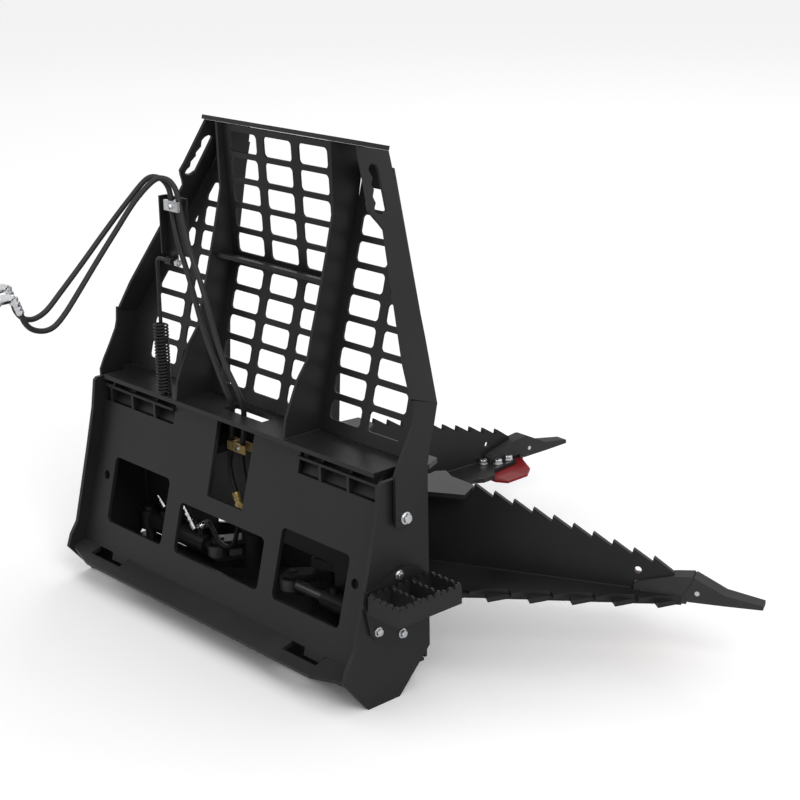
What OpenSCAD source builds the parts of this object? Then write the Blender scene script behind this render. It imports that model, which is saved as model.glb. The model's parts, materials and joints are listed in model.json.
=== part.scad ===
// Tree puller for a skid-steer loader: two toothed jaws on a quick-attach frame with a mesh guard.
// Millimetres. X to the right, Y forward along the jaws, Z up.
// The origin is in the middle plane, on the floor, under the bottom edge of the attachment face.

/* [Attachment face] */
// Distance between the inner faces of the two side plates
inner_w = 1142; // [1140:1:1146]
// Height of the bottom edge of the attachment face above the floor
face_bottom = 98; // [90:1:110]
// Height of the shelf's underside above the floor
shelf_bottom = 549; // [545:1:552]
// Lean of the attachment face, top forward, in degrees
face_lean = 14; // [12:0.5:16]
// Thickness of the attachment face plate
face_t = 12; // [10:1:14]
// Thickness of the side plates
side_t = 12; // [10:1:14]
// Radius of the round hole beside each side window
stow_hole_r = 12; // [8:0.5:14]

/* [Guard] */
// Thickness of the mesh sheet
mesh_t = 6; // [4:0.5:8]
// Width of the centre mesh windows
cell_w = 108; // [100:1:112]
// Height of the lower mesh windows
cell_h = 48.5; // [44:0.5:50]
// Distance from one lower window row to the next
cell_pitch = 64.4; // [62:0.2:66]
// Thickness of the outer guard plates and the inner gussets
guard_t = 8; // [6:0.5:9]
// Thickness of the cap plate
cap_t = 11; // [8:0.5:12]

/* [Jaws] */
// Distance of each jaw pivot from the middle plane
pivot_x = 155; // [154:0.5:157]
// Forward position of both jaw pivots
pivot_y = 268; // [267:0.5:269]
// Outer radius of the jaw's pivot tube
hub_r = 32; // [31:0.5:34]
// Radius of the jaw's pivot pin
pin_r = 19; // [17:0.5:20]
// Radial clearance of the jaw pins and the cylinder pins
running_gap = 0.1; // [0.05:0.01:0.1]
// Outward angle of the right jaw as shown, wide open, in degrees
right_open = 63.4; // [60:0.1:64]
// Inward angle of the left jaw as shown, fully closed, in degrees
left_closed = 3.4; // [3:0.1:4]
// Thickness of the jaw's upright saw-toothed plate
saw_t = 12; // [10:1:14]
// Thickness of each of the two layers of the jaw's bottom plate
layer_t = 12; // [10:1:12]

/* [Cylinders] */
// Outer radius of the cylinder barrel
barrel_r = 27; // [25:0.5:27]
// Radius of the cylinder rod
rod_r = 15; // [13:0.5:15]
// Height of the cylinder axes above the floor
cyl_z = 122; // [120:1:126]

/* [Hoses] */
// Outer diameter of the two hydraulic hoses
hose_d = 14; // [12:0.5:15]

/* [Hidden] */
steel = [0.06, 0.06, 0.065];
blade_red = [0.75, 0.05, 0.04];
zinc = [0.72, 0.73, 0.75];
gold = [0.72, 0.58, 0.25];
rubber = [0.04, 0.04, 0.04];
half_w = inner_w / 2;
seat_gap = 0.3;
face_h = (shelf_bottom - face_bottom) / cos(face_lean) - 2 * seat_gap;
eps = 0.01;

// Plate standing in a Y-Z plane, its outline given as (y, z), from x0 towards +X
module yz_plate(outline, x0, t) {
    translate([x0, 0, 0]) rotate([90, 0, 90]) linear_extrude(t) polygon(outline);
}

// Flat plate, its outline given as (x, y), from z0 upwards
module xy_plate(outline, z0, t) {
    translate([0, 0, z0]) linear_extrude(t) polygon(outline);
}

// Cuts in the leaning face, given as (x, distance up the face)
module face_frame() {
    translate([0, 0, face_bottom]) rotate([90 - face_lean, 0, 0]) children();
}

// Window with cut corners, from its lower left corner
module window(x0, y0, w, h, c) {
    polygon([
        [x0 + c, y0], [x0 + w - c, y0], [x0 + w, y0 + c], [x0 + w, y0 + h - c],
        [x0 + w - c, y0 + h], [x0 + c, y0 + h], [x0, y0 + h - c], [x0, y0 + c]
    ]);
}

function mirror_x(points) = [for (i = [len(points) - 1:-1:0]) [-points[i][0], points[i][1]]];

// Attachment plate

hook_s = 396.8;
hook_x = 255;
notch_x = 72;
notch_s = 253;
side_win = [232.6, 76.3, 249.4, 179.3];
centre_win = [174.4, 76.3, 133.6];
win_corner = 9;
tongue_drop = 20;
tongue_right = [380, 454];
tongue_left = [-433, -361];
stow_hole = [512, 196.4];

module face_outline() {
    side = half_w - seat_gap;
    polygon([
        [-side, 0], [tongue_left[0], 0], [tongue_left[0], -tongue_drop], [tongue_left[1] - 15, -tongue_drop],
        [tongue_left[1], 0], [tongue_right[0], 0], [tongue_right[0], -tongue_drop],
        [tongue_right[1] - 15, -tongue_drop], [tongue_right[1], 0], [side, 0],
        [side, hook_s], [hook_x, hook_s], [hook_x, face_h], [notch_x + 3, face_h], [notch_x, notch_s],
        [-notch_x, notch_s], [-notch_x - 3, face_h], [-hook_x, face_h], [-hook_x, hook_s], [-side, hook_s]
    ]);
}

module face_plate() {
    color(steel) difference() {
        face_frame() translate([0, 0, -face_t]) linear_extrude(face_t) difference() {
            face_outline();
            window(side_win[0], side_win[1], side_win[2], side_win[3], win_corner);
            window(-side_win[0] - side_win[2], side_win[1], side_win[2], side_win[3], win_corner);
            window(-centre_win[0], centre_win[1], 2 * centre_win[0], centre_win[2], win_corner);
        }
        for (side = [-1, 1]) face_frame() translate([side * stow_hole[0], stow_hole[1], -face_t - 1])
            cylinder(h = face_t + 2, r = stow_hole_r, $fn = 48);
        translate([-half_w, 0, shelf_bottom]) cube([inner_w, 400, 60]);
    }
}

side_outline = [
    [21, 0], [120, 0], [219, 102], [216, 526], [216, shelf_bottom], [77, shelf_bottom], [68, 542], [57, 465],
    [30, 348], [9, 263], [-18, 154], [-40, 121], [-52, 87]
];

module side_plates() {
    color(steel) for (x0 = [half_w, -half_w - side_t]) yz_plate(side_outline, x0, side_t);
}

shelf_t = 12;
shelf_half = 592;
shelf_cut_x = 546;
shelf_rear = 82;
shelf_front = 258;
hose_hole = [-81, 131, 159, 45];

module shelf() {
    color(steel) difference() {
        xy_plate([
            [-shelf_cut_x, shelf_rear], [shelf_cut_x, shelf_rear], [shelf_cut_x, 152], [shelf_half - 2, 164],
            [shelf_half - 2, 215], [half_w, shelf_front], [-half_w, shelf_front], [-shelf_half + 2, 215],
            [-shelf_half + 2, 164], [-shelf_cut_x, 152]
        ], shelf_bottom, shelf_t);
        translate([hose_hole[0], hose_hole[1], shelf_bottom - 1]) cube([hose_hole[2], hose_hole[3], shelf_t + 2]);
    }
}

// Hooks: a wedge plate in each pocket under the shelf, with three ribs behind it

hook_bottom = face_bottom + hook_s * cos(face_lean);
hook_rear = (hook_bottom - face_bottom) * tan(face_lean);
hook_top_rear = (shelf_bottom - face_bottom) * tan(face_lean);
wedge_t = 10;
wedge_top = 158;
rib_x = [338, 439, 538];
rib_t = 9;
wedge_foot = hook_rear + face_t + 1;

module hooks() {
    color(steel) {
        for (x0 = [hook_x, -half_w]) yz_plate([
            [wedge_foot, hook_bottom - 12], [wedge_foot + wedge_t, hook_bottom - 12],
            [wedge_foot + wedge_t, hook_bottom], [wedge_top + wedge_t, shelf_bottom], [wedge_top, shelf_bottom],
            [wedge_foot, hook_bottom]
        ], x0, half_w - hook_x);
        for (side = [-1, 1], x = rib_x) yz_plate([
            [wedge_foot, hook_bottom], [wedge_top, shelf_bottom], [hook_top_rear + 8, shelf_bottom],
            [hook_rear + 10, hook_bottom + 46], [hook_rear, hook_bottom + 39], [hook_rear, hook_bottom]
        ], side * x - rib_t / 2, rib_t);
    }
}

flange_t = 10;
flange_rear = -66;
flange_rear_z = 79;
flange_taper_x = 470;
flange_end = -40;
flange_lean = atan((face_bottom - flange_rear_z) / -flange_rear);

module lower_flange() {
    color(steel) difference() {
        translate([0, 0, face_bottom]) rotate([flange_lean, 0, 0]) translate([0, 0, -flange_t])
            linear_extrude(flange_t) difference() {
            polygon([
                [-half_w, 0], [half_w, 0], [half_w, flange_end], [flange_taper_x, flange_rear - 2],
                [-flange_taper_x, flange_rear - 2], [-half_w, flange_end]
            ]);
            translate([334, -34]) square([124, 40]);
            translate([-491, -34]) square([134, 40]);
        }
        face_frame() translate([-half_w - 1, -40, -60]) cube([inner_w + 2, 460, 60]);
    }
}

// Base plate under the frame, between the feet of the side plates

base_t = 8;

module base_plate() {
    outline = [[0, 0], [half_w, 12], [half_w, 146], [300, 150], [300, 240], [190, 320], [0, 330]];
    color(steel) xy_plate(concat(outline, mirror_x(outline)), lower_z - base_t, base_t);
}

// Pivot plates: the lower one carries the jaws and the cylinders, the upper one holds the tops of the jaw pins

lower_z = 41;
lower_t = 25;
upper_z = 431;
upper_t = 20;
hub_bottom = lower_z + lower_t;
hub_top = upper_z;
barrel_pin_x = 520;
barrel_pin_r = 15;
cyl_y = 185.5;
upper_rear = 112;
wall_y = 213;
wall_t = 8;
wall_cut_x = 245;
wall_cut_z = 205;
apron_h = 94;
apron = [[0, 337], [180, 317], [223, 292], [299, 231], [300, 239.5], [225, 300], [180, 325], [0, 345]];

module pin_holes(z0, h) {
    for (side = [-1, 1]) translate([side * pivot_x, pivot_y, z0 - 1])
        cylinder(h = h + 2, r = pin_r, $fn = 64);
}

module pivot_plate_lower() {
    outline = [
        [0, 323], [186, 211], [260, 60], [half_w, 60], [half_w, 158], [300, 240], [225, 300],
        [180, 325], [0, 345]
    ];
    color(steel) difference() {
        xy_plate(concat(outline, mirror_x(outline)), lower_z, lower_t);
        pin_holes(lower_z, lower_t);
        for (side = [-1, 1]) translate([side * barrel_pin_x, cyl_y, lower_z - 1])
            cylinder(h = lower_t + 2, r = barrel_pin_r + running_gap, $fn = 48);
    }
}

module pivot_plate_upper() {
    outline = [
        [110, upper_rear], [half_w, upper_rear], [half_w, 205], [300, 230], [215, 318], [155, 338], [110, 322]
    ];
    color(steel) difference() {
        union() {
            xy_plate(outline, upper_z, upper_t);
            xy_plate(mirror_x(outline), upper_z, upper_t);
            translate([-110 - eps, 200, upper_z]) cube([220 + 2 * eps, 90, upper_t]);
        }
        pin_holes(upper_z, upper_t);
    }
}

// Front wall of the frame, open at the middle of its foot for the jaws and the cylinder rods, and an
// apron in front of the hubs, along the edge of the lower pivot plate
module front_wall() {
    color(steel) translate([0, wall_y + wall_t, 0]) rotate([90, 0, 0]) linear_extrude(wall_t) {
        difference() {
            translate([-half_w, hub_bottom]) square([2 * half_w, upper_z - hub_bottom]);
            translate([-wall_cut_x, hub_bottom - 1]) square([2 * wall_cut_x, wall_cut_z - hub_bottom + 1]);
        }
        translate([-half_w, upper_z + upper_t]) square([2 * half_w, shelf_bottom - upper_z - upper_t]);
    }
    color(steel) for (points = [apron, mirror_x(apron)]) xy_plate(points, hub_bottom, apron_h);
}

// Pins of the jaws, fast in the frame, each with a cap on top

cap_r = 30;
cap_h = 8;

module jaw_pins() {
    color(zinc) for (side = [-1, 1]) translate([side * pivot_x, pivot_y, lower_z])
        cylinder(h = upper_z + upper_t - lower_z, r = pin_r, $fn = 64);
}

module jaw_pin_caps() {
    color(steel) for (side = [-1, 1]) translate([side * pivot_x, pivot_y, upper_z + upper_t])
        cylinder(h = cap_h, r = cap_r, $fn = 48);
}

// Guard: a mesh sheet folded once, leaning plates at both sides, gussets and a cap

mesh_lean = 14.25;
fold_y = 284.6;
fold_z = 913.3;
upper_lean = -2.9;
cap_rear = 266;
cap_front = 369;
cap_rear_z = 1269;
cap_half = 301;
cap_slope = 14.1;
cap_corner = 5;
mesh_top_y = 274;
mesh_top_z = cap_under(mesh_top_y) - 2 * seat_gap;
gusset_x = 216;
cell_web = 27.6;
cell_corner = 7;
lower_rows = 5;
upper_rows = 5;
upper_pitch = 65.3;
upper_cell_h = 50.4;
side_cell_w = 118.3;
side_cells = [241.5, 386.2];
side_rows = 9;
bend_z = 706;
guard_x = 598;
guard_slope = 0.549;
row_top = 742.7;
side_row_top = 936.5;
shelf_top = shelf_bottom + shelf_t;
foot_T = (shelf_top + mesh_t * sin(mesh_lean) + seat_gap - 172) / cos(mesh_lean);
fold_T = (fold_z - 172) / cos(mesh_lean);

// Height of the cap's underside at a forward position
function cap_under(y) = cap_rear_z - cap_t / cos(cap_slope) - tan(cap_slope) * (y - cap_rear);

// Frame of the lower mesh plane: X across, distance up the sheet from the height of 172, sheet behind it
module lower_mesh() {
    translate([0, 96.3, 172]) rotate([90 - mesh_lean, 0, 0]) translate([0, 0, -mesh_t])
        linear_extrude(mesh_t) children();
}

module upper_mesh() {
    translate([0, fold_y, fold_z]) rotate([90 - upper_lean, 0, 0]) translate([0, 0, -mesh_t])
        linear_extrude(mesh_t) children();
}

module mesh_centre() {
    half = gusset_x;
    step = cell_w + cell_web;
    upper_h = (mesh_top_z - fold_z) / cos(upper_lean);
    color(steel) {
        lower_mesh() difference() {
            translate([-half, foot_T]) square([2 * half, fold_T - foot_T]);
            for (k = [0:lower_rows - 1], i = [-1:1])
                window(i * step - cell_w / 2, row_top - cell_h - k * cell_pitch, cell_w, cell_h, cell_corner);
        }
        upper_mesh() difference() {
            translate([-half, 0]) square([2 * half, upper_h]);
            for (k = [0:upper_rows - 1], i = [-1:1])
                window(i * step - cell_w / 2, 324.9 - upper_cell_h - k * upper_pitch, cell_w, upper_cell_h,
                    cell_corner);
        }
    }
}

// Line of the leaning guard plate, as the distance from the middle plane at a height
function guard_line(z) = guard_x - guard_slope * (z - bend_z);

mesh_border = 26;
mesh_side_top = 1196;

module side_mesh_outline(inset) {
    top_T = (mesh_side_top - inset - 172) / cos(mesh_lean);
    bend_T = (bend_z - 172) / cos(mesh_lean);
    polygon([
        [gusset_x + guard_t + inset, foot_T + inset], [half_w - inset, foot_T + inset],
        [half_w + 10 - inset, bend_T],
        [guard_line(mesh_side_top) - guard_t / cos(guard_lean) - seat_gap - inset * 1.2, top_T],
        [gusset_x + guard_t + inset, top_T]
    ]);
}

module side_mesh(side) {
    color(steel) mirror([side < 0 ? 1 : 0, 0, 0]) lower_mesh() difference() {
        side_mesh_outline(0);
        intersection() {
            side_mesh_outline(mesh_border);
            for (x0 = side_cells, k = [0:side_rows - 1])
                window(x0, side_row_top + cell_pitch - cell_h - k * cell_pitch, side_cell_w, cell_h, cell_corner);
        }
    }
}

module mesh_left() {
    side_mesh(-1);
}

module mesh_right() {
    side_mesh(1);
}

gusset_outline = [
    [252, cap_under(252) - seat_gap], [256, 1090], [231, 986], [204, 885], [183, 815], [165, 745],
    [132, 701], [111, 655], [91, 610],
    [84, shelf_top], [258, shelf_top], [268, 745], [306, 947], [358, cap_under(358) - seat_gap]
];

module gussets() {
    color(steel) for (x0 = [-gusset_x - guard_t, gusset_x]) yz_plate(gusset_outline, x0, guard_t);
}

// Outer guard plate: a leaning part above the bend, and a straight tab below it, bolted to the side plate

guard_lean = atan(guard_slope);
lean_outline = [
    [166, 728], [180, 803], [262, 1075], [255, 1089], [243, 1108], [237, 1120], [244, 1141],
    [272, cap_under(272) - seat_gap], [359, cap_under(359) - seat_gap], [334, 1117], [300, 982], [268, 841],
    [234, bend_z]
];
slot_outline = [
    [255, 1112], [256, 1121], [265, 1131], [263, 1145], [274, 1159], [271, 1169], [282, 1184], [278, 1201],
    [285, 1210], [295, 1214], [308, 1209], [310, 1200], [290, 1113], [276, 1105], [263, 1107]
];
tab_outline = [
    [166, 726], [163, 687], [157, 666], [136, 627], [114, 589], [101, 562], [101, 438], [150, 430],
    [196, 535], [210, 611], [223, 656], [234, bend_z]
];

// Outline given as (y, height), laid on the leaning plane through the bend line
function on_lean(points) = [for (p = points) [p[0], (p[1] - bend_z) / cos(guard_lean)]];

module guard_plate(side) {
    color(steel) mirror([side < 0 ? 1 : 0, 0, 0]) {
        translate([guard_x, 0, bend_z]) rotate([0, -guard_lean, 0]) rotate([90, 0, 90])
            translate([0, 0, -guard_t]) linear_extrude(guard_t) difference() {
            polygon(on_lean(lean_outline));
            polygon(on_lean(slot_outline));
        }
        yz_plate(tab_outline, guard_x - guard_t, guard_t);
    }
}

module guard_plate_left() {
    guard_plate(-1);
}

module guard_plate_right() {
    guard_plate(1);
}

module guard_stiffener() {
    color(steel) translate([0, fold_y, fold_z]) rotate([180 - mesh_lean, 0, 0])
        translate([-gusset_x, seat_gap, 0]) cube([2 * gusset_x, 56, 10]);
}

module guard_cap() {
    depth = (cap_front - cap_rear) / cos(cap_slope);
    outline = [[0, 0], [cap_half - cap_corner, 0], [cap_half, cap_corner], [cap_half, depth], [0, depth]];
    color(steel) translate([0, cap_rear, cap_rear_z]) rotate([-cap_slope, 0, 0])
        xy_plate(concat(outline, mirror_x(outline)), -cap_t, cap_t);
}

bolt_y = 131;
bolt_z = 454;
bolt_head_r = 15;

module guard_bolts() {
    color(zinc) for (side = [-1, 1]) {
        start = side > 0 ? guard_x : -guard_x;
        translate([start, bolt_y, bolt_z]) rotate([0, 90 * side, 0]) cylinder(h = 3, r = bolt_head_r, $fn = 40);
        translate([start + side * 3, bolt_y, bolt_z]) rotate([0, 90 * side, 0])
            cylinder(h = 9, r = 12, $fn = 6);
    }
}

// Step at the right-hand side: a folded bracket and a tread with toothed edges

step_top = 300;
step_rim = 50;
step_x0 = 597;
step_x1 = 702;
step_rows = [15, 80, 142, 206];
strip_t = 6;
tooth_r = 9;
step_teeth = 5;
bracket_t = 7;
rib_h = 22;
bracket_x = half_w + side_t;

module step_bracket() {
    color(steel) {
        yz_plate([
            [88, 323], [135, 332], [176, 317], [198, step_top], [212, 290], [205, 245], [150, 160], [120, 142],
            [49, 170], [26, 190], [12, 255], [4, 278], [8, step_top], [60, 306]
        ], bracket_x, bracket_t);
        translate([bracket_x + bracket_t, 104, step_top - step_rim - rib_h]) cube([70, bracket_t, rib_h]);
    }
}

// Toothed strip along X, its teeth half round, from x0 to x1 at y
module step_strip(y, skew) {
    translate([step_x0, y, 0]) rotate([0, 0, skew]) rotate([90, 0, 0]) translate([0, 0, -strip_t / 2])
        linear_extrude(strip_t) {
        translate([0, step_top - step_rim]) square([step_x1 - step_x0, step_rim - tooth_r]);
        for (i = [0:step_teeth - 1])
            translate([(i + 0.5) * (step_x1 - step_x0) / step_teeth, step_top - tooth_r])
                circle(r = tooth_r, $fn = 32);
    }
}

module step_tread() {
    side_n = 9;
    color(steel) {
        for (y = step_rows) step_strip(y, 0);
        for (x0 = [step_x0, step_x1 - strip_t])
            translate([x0, 0, 0]) rotate([90, 0, 90]) linear_extrude(strip_t) {
            translate([step_rows[0], step_top - step_rim])
                square([step_rows[3] - step_rows[0], step_rim - tooth_r]);
            for (i = [0:side_n - 1])
                translate([step_rows[0] + (i + 0.5) * (step_rows[3] - step_rows[0]) / side_n, step_top - tooth_r])
                    circle(r = tooth_r, $fn = 32);
        }
    }
}

module step_bolts() {
    color(zinc) for (p = [[116, 315], [49, 193], [124, 165]])
        translate([bracket_x + bracket_t, p[0], p[1]]) rotate([0, 90, 0]) {
            cylinder(h = 2.5, r = 12, $fn = 40);
            translate([0, 0, 2.5]) cylinder(h = 7, r = 9.5, $fn = 6);
        }
}

// Sprung hose guide on the shelf, at the left of the hose opening

spring_x = -285;
spring_y = 96;
spring_r = 20;
spring_wire = 3;
spring_top = 755;
rod_d = 10;
spring_rod_top = 925;
post_x = -210;
post_y = 101;
post_w = 90;
post_z0 = 942;
post_z1 = 1090;

module spring() {
    turns = 20;
    pitch = (spring_top - shelf_top) / turns;
    color(steel) translate([spring_x, spring_y, shelf_top]) rotate_extrude($fn = 48) {
        translate([spring_r - 2 * spring_wire, 0]) square([1.5 * spring_wire, spring_top - shelf_top]);
        for (i = [0:turns - 1])
            translate([spring_r - spring_wire, (i + 0.5) * pitch]) circle(r = spring_wire, $fn = 24);
    }
}

module spring_rod() {
    color(steel) {
        translate([spring_x, spring_y, shelf_top]) cylinder(h = spring_rod_top - shelf_top, r = rod_d / 2, $fn = 32);
        translate([spring_x - rod_d / 2, spring_y, spring_rod_top]) rotate([0, 90, 0])
            cylinder(h = 90, r = rod_d / 2, $fn = 32);
    }
}

post_plate_y = post_y + 8;
lug_x = post_x - 30;
lug_w = 25;

module hose_post() {
    color(steel) {
        translate([post_x - post_w / 2, post_plate_y, post_z0]) cube([post_w, 5, post_z1 - post_z0]);
        translate([post_x - post_w / 2, post_y - 12, post_z0]) cube([5, 20, post_z1 - post_z0]);
        difference() {
            union() {
                translate([lug_x, spring_y, spring_rod_top]) rotate([0, 90, 0]) cylinder(h = lug_w, r = 10, $fn = 48);
                translate([lug_x, spring_y, spring_rod_top - 4]) cube([lug_w, post_plate_y - spring_y, 8]);
                translate([lug_x, post_plate_y, spring_rod_top - 4]) cube([lug_w, 5, post_z0 - spring_rod_top + 4]);
            }
            translate([lug_x - 1, spring_y, spring_rod_top]) rotate([0, 90, 0])
                cylinder(h = lug_w + 2, r = rod_d / 2 + running_gap, $fn = 48);
        }
    }
}

// Clamp on the post: a plate behind both hoses and a block between them
clamp_x = -190;
clamp_y = 79;
clamp_z = post_z1 - 30;
clamp_h = 26;

module hose_clamp() {
    color(zinc) {
        translate([clamp_x - 29, clamp_y, clamp_z]) cube([58, 7, clamp_h]);
        translate([clamp_x - 5.5, clamp_y + 7, clamp_z]) cube([11, post_plate_y - clamp_y - 7, clamp_h]);
    }
}

module guide_fasteners() {
    color(zinc) {
        translate([spring_x + 85, spring_y, spring_rod_top]) rotate([0, 90, 0])
            cylinder(h = 10, r = 10, $fn = 6);
        translate([clamp_x, clamp_y, clamp_z + clamp_h / 2]) rotate([90, 0, 0]) cylinder(h = 8, r = 8, $fn = 6);
    }
}

// Hoses, each through the points of its route, with rings at the points and between them

hose_a_route = [
    [-97, 172, 318], [-112, 172, 352], [-117, 171, 392], [-101, 166, 432], [-98, 164, 456],
    [-70, 150, 520], [-50, 136, 575],
    [-56, 122, 620],
    [-75, 112, 680], [-95, 106, 730], [-118, 102, 790], [-147, 98, 880], [-172, 95, 945], [-190, 93, 1000],
    [-203, 93, 1050], [-210, 95, 1095], [-222, 93, 1122], [-240, 82, 1138], [-258, 58, 1134],
    [-272, 10, 1085], [-282, -48, 1024], [-288, -130, 941], [-290, -190, 884], [-290, -232, 847],
    [-290, -265, 833], [-290, -289, 835], [-290, -306, 846], [-290, -317, 862], [-290, -322, 880]
];
hose_b_route = [
    [-52, 176, 300], [-56, 175, 350], [-62, 171, 404], [-50, 164, 456], [-22, 150, 520], [-6, 139, 575],
    [-8, 126, 621],
    [-34, 112, 684], [-55, 106, 739], [-80, 100, 824], [-107, 97, 897], [-139, 94, 969], [-164, 93, 1046],
    [-178, 95, 1092], [-190, 93, 1120], [-206, 82, 1138], [-224, 58, 1136], [-240, 10, 1090],
    [-248, -48, 1020], [-254, -110, 945], [-255, -156, 891], [-255, -200, 842], [-255, -234, 814],
    [-255, -265, 808], [-255, -296, 818], [-255, -315, 838], [-255, -324, 862]
];
tube_sides = 8;

function unit(v) = v / norm(v);
function along(route, i) = unit(route[min(i + 1, len(route) - 1)] - route[max(i - 1, 0)]);
function ring(p, t, r) = let (u = unit(cross(t, [1, 0, 0])), v = cross(t, u))
    [for (k = [0:tube_sides - 1]) p + r * (cos(360 * k / tube_sides) * u + sin(360 * k / tube_sides) * v)];

module tube(route, r) {
    n = len(route);
    points = [for (i = [0:n - 1]) each ring(route[i], along(route, i), r)];
    walls = [for (i = [0:n - 2], k = [0:tube_sides - 1]) let (m = (k + 1) % tube_sides) [
        i * tube_sides + k, i * tube_sides + m, (i + 1) * tube_sides + m, (i + 1) * tube_sides + k
    ]];
    first = [for (k = [tube_sides - 1:-1:0]) k];
    last = [for (k = [0:tube_sides - 1]) (n - 1) * tube_sides + k];
    polyhedron(points, concat(walls, [first, last]));
}

// Round bar from point a to point b
module bar(a, b, r, sides = 32) {
    d = b - a;
    translate(a) rotate([0, acos(d[2] / norm(d)), atan2(d[1], d[0])]) cylinder(h = norm(d), r = r, $fn = sides);
}

module hose_a() {
    color(rubber) tube(hose_a_route, hose_d / 2);
}

module hose_b() {
    color(rubber) tube(hose_b_route, hose_d / 2);
}

// Crimped ends of both hoses, with the elbow up to each coupler
ferrule_r = 10;
ferrule_l = 45;
coupler_r = 15;
coupler_l = 78;

function hose_end(route) = route[len(route) - 1];
function hose_out(route) = along(route, len(route) - 1);
function elbow_at(route) = hose_end(route) + ferrule_l * hose_out(route);

module hose_ferrules() {
    color(zinc) for (route = [hose_a_route, hose_b_route]) {
        bar(hose_end(route), elbow_at(route), ferrule_r);
        translate(elbow_at(route)) rotate([0, 90, 0])
            cylinder(h = 2 * ferrule_r + 4, r = ferrule_r + 2, center = true, $fn = 40);
        translate(elbow_at(route)) rotate([90, 0, 0]) cylinder(h = 20, r = ferrule_r - 1, $fn = 32);
        bar(route[0], route[0] - 30 * along(route, 0), ferrule_r);
    }
}

module coupler_bodies() {
    color(zinc) {
        translate(elbow_at(hose_a_route) - [0, 20, 0]) rotate([90, 0, 0]) cylinder(h = coupler_l, r = coupler_r, $fn = 48);
        translate(elbow_at(hose_b_route) - [0, 20, 0]) rotate([90, 0, 0])
            cylinder(h = coupler_l - 20, r = coupler_r - 3, $fn = 48);
    }
}

module coupler_sleeve() {
    color(zinc) translate(elbow_at(hose_b_route) - [0, 40, 0]) rotate([90, 0, 0]) difference() {
        cylinder(h = 30, r = coupler_r + 1, $fn = 48);
        translate([0, 0, -1]) cylinder(h = 32, r = coupler_r - 3 + running_gap, $fn = 48);
    }
}

// Clamp where the hoses pass the notch: two plates and a block between the hoses
gold_x = [-109, -94];
gold_end = -20;
gold_block = [-83, -71];
gold_z = 444;
gold_h = 23;
gold_rear = 148.5;
gold_front = 175;
gold_t = 5;

module gold_clamp() {
    color(gold) {
        translate([gold_x[0], gold_front, gold_z]) cube([gold_end - gold_x[0], gold_t, gold_h]);
        translate([gold_x[1], gold_rear, gold_z]) cube([gold_end - gold_x[1], gold_t, gold_h]);
        translate([gold_block[0], gold_rear + gold_t, gold_z])
            cube([gold_block[1] - gold_block[0], gold_front - gold_rear - gold_t, gold_h]);
    }
}

// Hexagon fittings under the hoses' lower ends
module gold_fittings() {
    color(gold) for (route = [hose_a_route, hose_b_route]) let (back = along(route, 0))
        bar(route[0] - (30 + seat_gap) * back, route[0] - 54 * back, 12, 6);
}

// Cylinders: the barrel turns on its pin in the lower pivot plate, the rod's eye sits loose on the jaw's pin

barrel_front = 245;
barrel_back = 485;
rod_eye_r = 30;
rod_eye_t = 30;
rod_pin_r = 11;
eye_slack = 8.5;
arm_eye = [45, -78];
arm_t = 12;
rod_in = 200;
barrel_eye_r = 26;

function arm_tip(side) = side > 0
    ? [pivot_x + arm_eye[0] * cos(right_open) + arm_eye[1] * sin(right_open)]
    : [-pivot_x - arm_eye[0] * cos(left_closed) + arm_eye[1] * sin(left_closed)];

module along_x(x0, x1, r) {
    translate([min(x0, x1), cyl_y, cyl_z]) rotate([0, 90, 0]) cylinder(h = abs(x1 - x0), r = r, $fn = 64);
}

module barrel(side) {
    color(steel) difference() {
        union() {
            along_x(side * barrel_front, side * barrel_back, barrel_r);
            translate([side * barrel_pin_x, cyl_y, cyl_z - barrel_r]) cylinder(h = 2 * barrel_r, r = barrel_eye_r, $fn = 64);
            along_x(side * (barrel_back - 5), side * (barrel_pin_x - 10), 20);
            for (x = [barrel_front + 30, barrel_back - 35])
                translate([side * x, cyl_y, cyl_z]) cylinder(h = barrel_r + 14, r = 12, $fn = 32);
        }
        along_x(side * (barrel_front - 1), side * (barrel_back - 25), rod_r + running_gap);
        translate([side * barrel_pin_x, cyl_y, cyl_z - barrel_r - 1])
            cylinder(h = 2 * barrel_r + 2, r = barrel_pin_r + running_gap, $fn = 48);
    }
}

module rod(side) {
    tip = arm_tip(side)[0];
    color(zinc) difference() {
        union() {
            along_x(tip + side * (rod_eye_r - 4), tip + side * rod_in, rod_r);
            translate([tip, cyl_y, cyl_z - rod_eye_t / 2]) cylinder(h = rod_eye_t, r = rod_eye_r, $fn = 64);
        }
        translate([tip, cyl_y, cyl_z - rod_eye_t / 2 - 1])
            cylinder(h = rod_eye_t + 2, r = rod_pin_r + eye_slack, $fn = 48);
    }
}

module barrel_right() {
    barrel(1);
}

module barrel_left() {
    barrel(-1);
}

module rod_right() {
    rod(1);
}

module rod_left() {
    rod(-1);
}

module barrel_pins() {
    color(zinc) for (side = [-1, 1]) translate([side * barrel_pin_x, cyl_y, lower_z])
        cylinder(h = cyl_z + barrel_r + 10 - lower_z, r = barrel_pin_r, $fn = 48);
}

// Jaws. Each is drawn with its pivot on the origin, X outward from the jaw and Y along it.

floor_bottom = 168;
blade_top = floor_bottom + layer_t;
floor_top = blade_top + layer_t;
saw_x = -44;
saw_start = -30;
saw_first = [380, 412];
saw_pitch = [50.4, -14.7];
saw_tips = 10;
saw_deep = 15;
root_top = 402;
root_t = 12;
lower_first = [127.6, 363.2];
upper_first = [108.8, 417.4];
edge_pitch = [-25.6, 98.8];
upper_pitch_w = [-23.8, 98.6];
tail_l = 788;
floor_end = 905.5;
adapter_near = -36;
adapter_w = 44;
saw_hole = [796, 241];

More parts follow.
